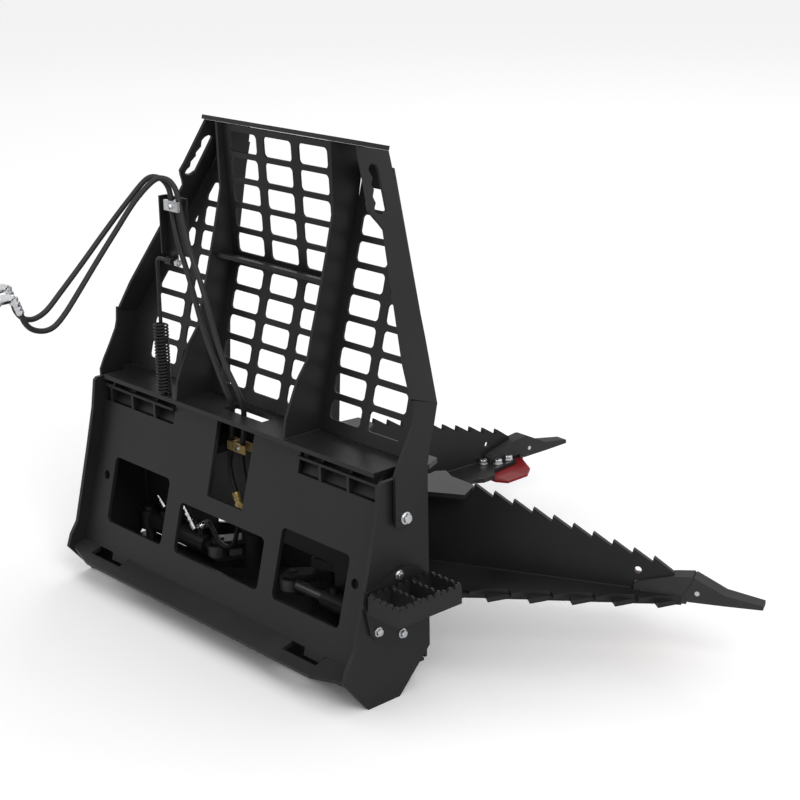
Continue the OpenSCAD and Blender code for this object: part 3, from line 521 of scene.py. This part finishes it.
print("hose lengths:", round(line_length(line_a), 3), round(line_length(line_b), 3))

# %% [markdown]
# A crimped ferrule holds the hose on its fitting: a sleeve of bright steel, pressed in rings. Above
# it an elbow turns back to the coupler. Turned profiles give the rings with real edges, and a short
# bent tube gives the elbow.

# %% Ferrules, elbows and couplers
FERRULE = [(0, 7.6), (0, 9.4), (2, 10), (8, 10), (9.5, 9.1), (12, 9.1), (13.5, 10), (19, 10), (20.5, 9.1),
           (23, 9.1), (24.5, 10), (33, 10), (35, 8), (38, 8), (38, 9.6), (45, 9.6)]
COUPLER_A = [(0, 11), (1, 12), (10, 12), (11, 15), (30, 15), (31, 14), (34, 14), (35, 15), (60, 15),
             (62, 13.4), (66, 13.4), (68, 14.6), (76, 14.6), (78, 13), (78, 8), (70, 8)]
COUPLER_B = [(0, 10), (1, 12), (22, 12), (24, 11.4), (50, 11.4), (52, 10.6), (58, 10.2), (58, 6), (50, 6)]
SLEEVE = [(0, 13), (1.5, 15.6), (4, 16), (6, 15.2), (8, 16), (10, 15.2), (12, 16), (14, 15.2), (16, 16),
          (18, 15.2), (20, 16), (22, 15.2), (24, 16), (28.5, 15.6), (30, 13)]
HEX_COLLAR = [(0, 10.2), (1, 11.2), (9, 11.2), (10, 10.2)]
BACK = Vector((0, -1, 0))


def hose_end(line):
    # The route's end, its direction, and where the elbow starts
    tip, heading = line[-1], (line[-1] - line[-2]).normalized()
    return tip, heading, tip + heading * 0.045


tip_a, heading_a, elbow_a = hose_end(HOSE_A)
tip_b, heading_b, elbow_b = hose_end(HOSE_B)
foot_a, foot_b = (HOSE_A[0] - HOSE_A[1]).normalized(), (HOSE_B[0] - HOSE_B[1]).normalized()
ferrule_parts = []
for start, heading in ((tip_a, heading_a), (tip_b, heading_b)):
    ferrule_parts.append((start, heading, FERRULE, 40))
for elbow in (elbow_a, elbow_b):
    ferrule_parts.append((elbow - Vector((0, 0.0102, 0)), BACK, HEX_COLLAR, 6))
ferrules = turned_piece("ferrules", ferrule_parts, chrome, "frame")
foot_parts = [(start, heading, [(a * 0.66, r * 1.1) for a, r in FERRULE], 40)
              for start, heading in ((HOSE_A[0], foot_a), (HOSE_B[0], foot_b))]
turned_piece("foot_ferrules", foot_parts, gold, "frame")
elbow_lines = []
for elbow, heading in ((elbow_a, heading_a), (elbow_b, heading_b)):
    corner = elbow
    elbow_lines.append(smooth_line([corner - heading * 0.012, corner - heading * 0.004 + BACK * 0.002,
                                    corner + BACK * 0.006 + heading * 0.001, corner + BACK * 0.016], 5))
elbow_piece_a = tube_piece("elbow_a", elbow_lines[0], 0.0088, chrome, "frame", 6)
elbow_piece_b = tube_piece("elbow_b", elbow_lines[1], 0.0088, chrome, "frame", 6)
body_a = turned_piece("coupler_body_a", [(elbow_a + BACK * 0.020, BACK, COUPLER_A, 40)], chrome, "frame")
body_b = turned_piece("coupler_body_b", [(elbow_b + BACK * 0.020, BACK, COUPLER_B, 40)], chrome, "frame")
sleeve = turned_piece("coupler_sleeve_ring", [(elbow_b + BACK * 0.040, BACK, SLEEVE, 48)], chrome, "frame")
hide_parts("hose_ferrules")
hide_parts("coupler_bodies")
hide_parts("coupler_sleeve")
print("couplers at", [tuple(round(c, 3) for c in e) for e in (elbow_a, elbow_b)])

# %% [markdown]
# ## Attachment face and guard sheets
#
# The attachment face and the three guard sheets are laser-cut plates with rounded windows. The
# model's plates have cut corners there, which keeps their surfaces simple, so each is replaced by a
# plate of the same outline with real arcs in its corners.

# %% Sizes of the face
HALF_W = 571.0
FACE_BOTTOM = 98.0
SHELF_BOTTOM = 549.0
FACE_LEAN = 14.0
FACE_T = 12.0
FACE_H = (SHELF_BOTTOM - FACE_BOTTOM) / math.cos(math.radians(FACE_LEAN)) - 3.2
HOOK_S, HOOK_X, NOTCH_X, NOTCH_S = 396.8, 255.0, 72.0, 253.0
face_outline = [
    (-HALF_W, 0), (-433, 0), (-433, -20), (-376, -20), (-361, 0), (380, 0), (380, -20), (439, -20), (454, 0),
    (HALF_W, 0), (HALF_W, HOOK_S), (HOOK_X, HOOK_S), (HOOK_X, FACE_H), (NOTCH_X + 3, FACE_H),
    (NOTCH_X, NOTCH_S),
    (-NOTCH_X, NOTCH_S), (-NOTCH_X - 3, FACE_H), (-HOOK_X, FACE_H), (-HOOK_X, HOOK_S), (-HALF_W, HOOK_S)]
WINDOW_R = 14.0
STOW_HOLE = (512.0, 196.4, 12.0)


def circle_points(x, y, radius, count=32):
    return [(x + radius * math.cos(2 * math.pi * k / count), y + radius * math.sin(2 * math.pi * k / count))
            for k in range(count)]


face_windows = [rounded(box_points(232.6, 76.3, 249.4, 179.3), WINDOW_R),
                rounded(box_points(-232.6 - 249.4, 76.3, 249.4, 179.3), WINDOW_R),
                rounded(box_points(-174.4, 76.3, 2 * 174.4, 133.6), WINDOW_R)]
face_windows += [circle_points(side * STOW_HOLE[0], STOW_HOLE[1], STOW_HOLE[2]) for side in (-1, 1)]
face_mesh = plate_mesh("face_sheet", [(face_outline, face_windows, FACE_T,
                                       leaning_place(0, FACE_BOTTOM, FACE_LEAN, FACE_T))])
face_sheet = new_piece("face_sheet", face_mesh, powder_coat, "frame")
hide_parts("face_plate")
print("face windows:", len(face_windows))

# %% Guard sheets
MESH_T, MESH_LEAN, UPPER_LEAN = 6.0, 14.25, -2.9
GUSSET_X, GUARD_T = 216.0, 8.0
FOLD_Y, FOLD_Z, MESH_TOP_Z = 284.6, 913.3, 1255.0
SHELF_TOP = 561.0
CELL_W, CELL_H, CELL_PITCH, CELL_WEB = 108.0, 48.5, 64.4, 27.6
cos_lean = math.cos(math.radians(MESH_LEAN))
foot_t = (SHELF_TOP + 1.8 - 172) / cos_lean
fold_t = (FOLD_Z - 172) / cos_lean
lower_place = leaning_place(96.3, 172, MESH_LEAN, MESH_T)
upper_place = leaning_place(FOLD_Y, FOLD_Z, UPPER_LEAN, MESH_T)
CELL_R = 11.0


def cell_rows(top, rows, pitch, height, lefts, width):
    return [box_points(x0, top - height - k * pitch, width, height) for k in range(rows) for x0 in lefts]


centre_lefts = [i * (CELL_W + CELL_WEB) - CELL_W / 2 for i in (-1, 0, 1)]
lower_cells = [rounded(c, CELL_R) for c in cell_rows(742.7, 5, CELL_PITCH, CELL_H, centre_lefts, CELL_W)]
upper_cells = [rounded(c, CELL_R) for c in cell_rows(324.9, 5, 65.3, 50.4, centre_lefts, CELL_W)]
upper_h = (MESH_TOP_Z - FOLD_Z) / math.cos(math.radians(UPPER_LEAN))
centre_mesh = plate_mesh("guard_sheet_centre", [
    (box_points(-GUSSET_X, foot_t, 2 * GUSSET_X, fold_t - foot_t), lower_cells, MESH_T, lower_place),
    (box_points(-GUSSET_X, 0, 2 * GUSSET_X, upper_h), upper_cells, MESH_T, upper_place)])
guard_centre = new_piece("guard_sheet_centre", centre_mesh, powder_coat, "frame")
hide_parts("mesh_centre")
print("centre cells:", len(lower_cells) + len(upper_cells))

# %% [markdown]
# The side sheets run out to the leaning guard plates, so their last cells are cut off along the
# slope. Each cell is first clipped by the sheet's own border, and its corners are rounded after that.

# %% Side sheets of the guard
BEND_Z, GUARD_X, GUARD_SLOPE, SIDE_TOP = 706.0, 598.0, 0.549, 1196.0
guard_lean = math.atan(GUARD_SLOPE)


def side_border(inset, foot_x, bend_x, seat=0.3):
    top_t = (SIDE_TOP - inset - 172) / cos_lean
    bend_t = (BEND_Z - 172) / cos_lean
    top_x = GUARD_X - GUARD_SLOPE * (SIDE_TOP - BEND_Z) - GUARD_T / math.cos(guard_lean) - seat - inset * 1.2
    inner = GUSSET_X + GUARD_T + inset
    return [(inner, foot_t + inset), (foot_x - inset, foot_t + inset), (bend_x - inset, bend_t),
            (top_x, top_t), (inner, top_t)]


side_cells = cell_rows(936.5 + CELL_PITCH, 9, CELL_PITCH, CELL_H, (241.5, 386.2), 118.3)
right_cells = [clipped(cell, side_border(26, HALF_W, HALF_W + 10)) for cell in side_cells]
right_cells = [rounded(cell, CELL_R) for cell in right_cells if len(cell) > 2]
for name, side, node in (("guard_sheet_right", 1, "mesh_right"), ("guard_sheet_left", -1, "mesh_left")):
    outline = [(side * x, y) for x, y in side_border(0, GUARD_X - GUARD_T, GUARD_X - GUARD_T + 2, -5)]
    openings = [[(side * p.x, p.y) for p in cell] for cell in right_cells]
    sheet_mesh = plate_mesh(name, [(outline, openings, MESH_T, lower_place)])
    sheet = new_piece(name, sheet_mesh, powder_coat, "frame")
    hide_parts(node)
print("side cells:", len(right_cells))

# %% [markdown]
# ## Sprung hose guide
#
# A steel rod stands in a coil spring on the shelf, so that it can give way when a branch pushes it.
# The spring is wound wire, so it is drawn as a helix with closed ends. The rod is one bar with a tight
# bend at its top.

# %% Spring and rod
SPRING_X, SPRING_Y, SPRING_R, WIRE_R = -0.285, 0.096, 0.017, 0.003
SPRING_TOP, ROD_TOP, ROD_R, BEND_R = 0.755, 0.925, 0.005, 0.014
TURNS = 22
spring_line = []
for k in range(TURNS * 24 + 1):
    angle = 2 * math.pi * k / 24
    rise = (SPRING_TOP - SHELF_TOP / 1000 - 2 * WIRE_R) * k / (TURNS * 24)
    spring_line.append(Vector((SPRING_X + SPRING_R * math.cos(angle), SPRING_Y + SPRING_R * math.sin(angle),
                               SHELF_TOP / 1000 + WIRE_R + rise)))
spring = tube_piece("spring_coil", spring_line, WIRE_R, powder_coat, "frame", 3)
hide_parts("spring")
rod_line = [Vector((SPRING_X, SPRING_Y, SHELF_TOP / 1000)),
            Vector((SPRING_X, SPRING_Y, ROD_TOP - BEND_R - 0.02))]
rod_line += [Vector((SPRING_X + BEND_R * (1 - math.cos(a)), SPRING_Y,
                     ROD_TOP - BEND_R + BEND_R * math.sin(a)))
             for a in (math.pi / 2 * k / 8 for k in range(9))]
rod_line.append(Vector((SPRING_X + 0.085, SPRING_Y, ROD_TOP)))
guide_rod = tube_piece("guide_rod", rod_line, ROD_R, powder_coat, "frame", 6)
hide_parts("spring_rod")
print("spring wire:", round(line_length(spring_line), 2), "m")

# %% [markdown]
# ## Bolts
#
# A hex bolt shows a round washer, a six-sided head with its corners turned off at the top, and in the
# photograph a bright zinc finish. One helper makes a bolt from its washer radius and head size, and
# each set of bolts becomes one piece that stands for the model's set.

# %% Bolts of the guard, step and blades
def bolt_parts(place_at, axis, washer_r, head_r, head_h, washer_h=2.5):
    washer = [(0, washer_r - 0.6), (0.5, washer_r), (washer_h - 0.5, washer_r), (washer_h, washer_r - 0.7)]
    head = [(washer_h, head_r), (washer_h + head_h * 0.72, head_r), (washer_h + head_h * 0.9, head_r * 0.93),
            (washer_h + head_h, head_r * 0.8)]
    collar = [(washer_h, head_r * 0.8), (washer_h + head_h * 0.98, head_r * 0.84),
              (washer_h + head_h + 0.2, head_r * 0.7)]
    return [(place_at, axis, washer, 32), (place_at, axis, head, 6), (place_at, axis, collar, 32)]


RIGHT, LEFT, UP = Vector((1, 0, 0)), Vector((-1, 0, 0)), Vector((0, 0, 1))
guard_parts = []
for axis, x in ((RIGHT, GUARD_X), (LEFT, -GUARD_X)):
    guard_parts += bolt_parts(mm(x, 131, 454), axis, 15, 12, 9, 3)
guard_bolt_set = turned_piece("guard_bolt_set", guard_parts, zinc, "frame")
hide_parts("guard_bolts")
STEP_X, STEP_BOLTS = 590, ((116, 315), (49, 193), (124, 165))
step_parts = []
for y, z in STEP_BOLTS:
    step_parts += bolt_parts(mm(STEP_X, y, z), RIGHT, 12, 9.5, 7)
step_bolt_set = turned_piece("step_bolt_set", step_parts, zinc, "frame")
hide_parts("step_bolts")


PIVOT_X, PIVOT_Y, RIGHT_OPEN, LEFT_CLOSED = 155, 268, 63.4, 3.4


def jaw_place(side, w, l, z):
    # A point given outward from the jaw and along it, at rest
    a = math.radians(-RIGHT_OPEN if side > 0 else LEFT_CLOSED)
    x = PIVOT_X + w * math.cos(a) - l * math.sin(a)
    return mm(side * x, PIVOT_Y + w * math.sin(a) + l * math.cos(a), z)


BLADE_BOLTS = ((-69, 768), (-97, 801), (-91, 847))
JAW_FLOOR_TOP = 192
for side, body in ((1, "right_jaw"), (-1, "left_jaw")):
    blade_parts = []
    for w, l in BLADE_BOLTS:
        blade_parts += bolt_parts(jaw_place(side, w, l, JAW_FLOOR_TOP), UP, 15, 12.5, 11, 3)
    tag = body.split("_")[0]
    blade_bolt_set = turned_piece("blade_bolt_set_" + tag, blade_parts, zinc, body)
    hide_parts("blade_bolts_" + tag)
print("bolts:", 2, "guard,", len(STEP_BOLTS), "step,", 2 * len(BLADE_BOLTS), "blade")

# %% [markdown]
# ## Blades
#
# Each blade is a thick red plate with a wide ground bevel along its outer edge, which meets the flat
# top in a clear ridge. The plate is built from two outlines, the full one at the bottom and a smaller
# one on top, so the bevel is a true sloping face.

# %% Blades with a ground edge
BLADE_FOOT = [(-192, 754), (-186, 836), (-154, 877), (-81, 914), (-81, 905), (-45, 905), (-45, 735),
              (-161, 733)]
BLADE_RIDGE = [(-153, 746), (-153, 806), (-145, 868), (-81, 912), (-81, 905), (-45, 905), (-45, 735),
               (-150, 735)]
BLADE_BOTTOM, BLADE_EDGE, BLADE_TOP = 168, 175, 180
for side, body in ((1, "right_jaw"), (-1, "left_jaw")):
    tag = body.split("_")[0]
    target = bmesh.new()
    levels = ((BLADE_FOOT, BLADE_BOTTOM), (BLADE_FOOT, BLADE_EDGE), (BLADE_RIDGE, BLADE_TOP))
    rings = [[target.verts.new(jaw_place(side, w, l, z)) for w, l in outline] for outline, z in levels]
    for low, high in zip(rings, rings[1:]):
        for k in range(len(low)):
            target.faces.new((low[k], low[(k + 1) % len(low)], high[(k + 1) % len(low)], high[k]))
    target.faces.new(rings[0])
    target.faces.new(rings[-1])
    bmesh.ops.recalc_face_normals(target, faces=target.faces)
    blade_mesh = bpy.data.meshes.new("blade_plate_" + tag)
    target.to_mesh(blade_mesh)
    target.free()
    blade = new_piece("blade_plate_" + tag, blade_mesh, red_paint, body)
    round_edges(blade, 0.7)
    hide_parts("blade_" + tag)
print("blades from", BLADE_BOTTOM, "to", BLADE_TOP, "mm")

# %% [markdown]
# The floor of the frame fills the corner between the lower pivot plate's slanted edge and the front
# wall, so no daylight shows through the windows there. The model leaves these two small corners out.

# %% Floor corners
CORNER_T, CORNER_TOP = 8.0, 65.7
corner_sheets = []
for side in (1, -1):
    corner = [(side * x, y) for x, y in ((570, 160), (570, 212), (393, 212))]
    corner_sheets.append((corner, [], CORNER_T, Matrix.Translation(mm(0, 0, CORNER_TOP - CORNER_T / 2))))
corner_mesh = plate_mesh("floor_corners", corner_sheets)
new_piece("floor_corners", corner_mesh, powder_coat, "frame")
print("floor corners:", len(corner_sheets))

# %% [markdown]
# ## Fittings
#
# Bright hose fittings sit at the cylinders' ports and show through the windows. Each is a turned
# nut, a stem and a crimped sleeve. The nuts of the sprung guide and the screw of the yellow clamp are
# the same kind of small turned parts.

# %% Port fittings, nuts and clamp screw
FITTING = [(0, 7), (0, 9), (14, 9), (15, 7), (22, 7), (23, 12), (30, 12), (31, 10.5), (34, 10.5), (35, 12),
           (42, 12), (43, 10.5), (46, 10.5), (47, 12), (62, 12), (63, 9)]


def stretched(profile, length_mm):
    return [(along * length_mm / profile[-1][0], radius) for along, radius in profile]


def fitting(start, end):
    return (start, end - start, stretched(FITTING, (end - start).length * 1000), 32)


turned_piece("port_fittings", [
    fitting(mm(-457, 176, 207), mm(-424, 176, 182)), fitting(mm(-344, 176, 217), mm(-287, 176, 157)),
    fitting(mm(-272, 176, 168), mm(-232, 176, 192))], chrome, "frame")
nut = [(0, 9), (1, 10), (9, 10), (10, 9)]
guide_nuts = turned_piece("guide_nuts", [
    (mm(-200, 96, 925), RIGHT, nut, 6), (mm(-200, 96, 925), RIGHT, [(0, 4.9), (13, 4.9), (14, 4.2)], 24)]
    + bolt_parts(mm(-190, 79, 1073), BACK, 9, 7.5, 6, 2), zinc, "frame")
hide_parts("guide_fasteners")
turned_piece("clamp_screw", bolt_parts(mm(-50, 148.5, 455), BACK, 6.5, 5, 3.5, 1.2), zinc, "frame")
pipe_line = smooth_line([mm(-232, 176, 192), mm(-215, 176, 180), mm(-190, 176, 152), mm(-150, 176, 146),
                         mm(-118, 174, 166), mm(-100, 172, 205), mm(-82, 172, 262)], 8)
tube_piece("link_pipe", pipe_line, 0.0065, powder_coat, "frame")
print("fittings ready")

# %% [markdown]
# ## Welds
#
# Welded joints show a small rippled bead in the corner between the plates. Each bead here is a thin
# tube whose rings swell and shrink by a little, sunk halfway into the corner. A thicker bead closes
# the top of the hook ribs.

# %% Weld beads
def weld_bead(name, start, end, radius_mm, body):
    target = bmesh.new()
    length_mm = (end - start).length * 1000
    count = max(int(length_mm / 3.0), 4)
    profile = []
    for k in range(count + 1):
        ripple = 1 + 0.10 * math.sin(k * 2.4) + 0.06 * math.sin(k * 1.1 + 0.6)
        fade = 0.45 if k in (0, count) else 1.0
        profile.append((length_mm * k / count, radius_mm * ripple * fade))
    turned_mesh(target, start, end - start, profile, 12)
    mesh = bpy.data.meshes.new(name)
    target.to_mesh(mesh)
    target.free()
    for face in mesh.polygons:
        face.use_smooth = True
    return new_piece(name, mesh, weld_coat, body)


FLOOR_SEAM, ROOT_SEAM, SAW_FRONT, SAW_BACK = 192.5, 389, -43.5, -56.5
JAW_WELDS = (
    ("weld_saw_foot_", SAW_FRONT, 40, 780, FLOOR_SEAM, 2.2),
    ("weld_saw_back_", SAW_BACK, 60, 780, FLOOR_SEAM, 3.5),
    ("weld_root_", SAW_FRONT, 0, 366, ROOT_SEAM, 3.0),
    ("weld_adapter_", -36, 800, 900, FLOOR_SEAM, 3.0))
beads = 0
for side, body in ((1, "right_jaw"), (-1, "left_jaw")):
    tag = body.split("_")[0]
    for name, w, l_from, l_to, z, radius_mm in JAW_WELDS:
        weld_bead(name + tag, jaw_place(side, w, l_from, z), jaw_place(side, w, l_to, z), radius_mm, body)
        beads += 1
for tag, side in (("right", 1), ("left", -1)):
    weld_bead("weld_gusset_" + tag, mm(side * 224, 86, 561.5), mm(side * 224, 256, 561.5), 3, "frame")
    weld_bead("weld_shelf_" + tag, mm(side * 571, 114, 548.5), mm(side * 571, 210, 548.5), 3, "frame")
    weld_bead("weld_hook_" + tag, mm(side * 255, 101, 523), mm(side * 571, 101, 523), 5, "frame")
    weld_bead("weld_wall_" + tag, mm(side * 570.5, 212.5, 120), mm(side * 570.5, 212.5, 425), 3, "frame")
    beads += 4
print("weld beads:", beads)

# %% [markdown]
# ## Floor, light and background
#
# A plain pale floor, a large soft lamp high above the far side, which gives the long soft shine on
# upward faces, and an even pale surround. The white of the background comes from the world's colour
# as the camera and the reflections see it, and not from more light on the machine.

# %% Floor
FLOOR_LIT, FLOOR_SEEN = (0.8, 0.8, 0.8, 1), (1.1, 1.1, 1.1, 1)
floor_mesh = bpy.data.meshes.new("studio_floor")
floor_target = bmesh.new()
bmesh.ops.create_grid(floor_target, x_segments=1, y_segments=1, size=30)
floor_target.to_mesh(floor_mesh)
floor_target.free()
studio_floor = bpy.data.objects.new("studio_floor", floor_mesh)
bpy.context.scene.collection.objects.link(studio_floor)
floor_paint = bpy.data.materials.new("pale floor")
floor_paint.use_nodes = True
floor_tree = floor_paint.node_tree
floor_shader = floor_tree.nodes["Principled BSDF"]
floor_shader.inputs["Roughness"].default_value = 0.9
floor_shader.inputs["Specular IOR Level"].default_value = 0.0
rays = add_node(floor_tree, "ShaderNodeLightPath")
seen = add_node(floor_tree, "ShaderNodeMix", data_type="RGBA")
seen.inputs["A"].default_value = FLOOR_LIT
seen.inputs["B"].default_value = FLOOR_SEEN
floor_tree.links.new(rays.outputs["Is Camera Ray"], seen.inputs["Factor"])
floor_tree.links.new(seen.outputs["Result"], floor_shader.inputs["Base Color"])
floor_mesh.materials.append(floor_paint)
print("floor ready")

# %% Lamps and world
def soft_lamp(name, place_at, target, size, power):
    data = bpy.data.lights.new(name, "AREA")
    data.shape = "DISK"
    data.size = size
    data.energy = power
    lamp = bpy.data.objects.new(name, data)
    lamp.location = place_at
    lamp.rotation_euler = (Vector(target) - Vector(place_at)).to_track_quat("-Z", "Y").to_euler()
    bpy.context.scene.collection.objects.link(lamp)
    return lamp


soft_lamp("far_lamp", (-5.0, 7.6, 7.6), (0.2, 0.4, 0.4), 3.2, 70)
soft_lamp("near_lamp", (7.8, -2.8, 7.0), (0.1, 0.2, 0.4), 5.0, 330)
world = bpy.data.worlds.new("studio")
bpy.context.scene.world = world
world.use_nodes = True
world_tree = world.node_tree
surround = world_tree.nodes["Background"]
surround.inputs["Color"].default_value = (1, 1, 1, 1)
world_rays = add_node(world_tree, "ShaderNodeLightPath")
strength = add_node(world_tree, "ShaderNodeMapRange")
strength.inputs["To Min"].default_value = 0.8
strength.inputs["To Max"].default_value = 1.0
seen_or_mirrored = world_rays.outputs["Is Camera Ray"]
for ray in ("Is Glossy Ray", "Is Transmission Ray"):
    either = add_node(world_tree, "ShaderNodeMath", operation="MAXIMUM")
    world_tree.links.new(seen_or_mirrored, either.inputs[0])
    world_tree.links.new(world_rays.outputs[ray], either.inputs[1])
    seen_or_mirrored = either.outputs[0]
world_tree.links.new(seen_or_mirrored, strength.inputs["Value"])
world_tree.links.new(strength.outputs["Result"], surround.inputs["Strength"])
print("surround strength:", strength.inputs["To Min"].default_value)

# %% [markdown]
# ## Finish
#
# The colour view of the scene is set to Standard.

# %% Finish
bpy.context.scene.view_settings.view_transform = "Standard"
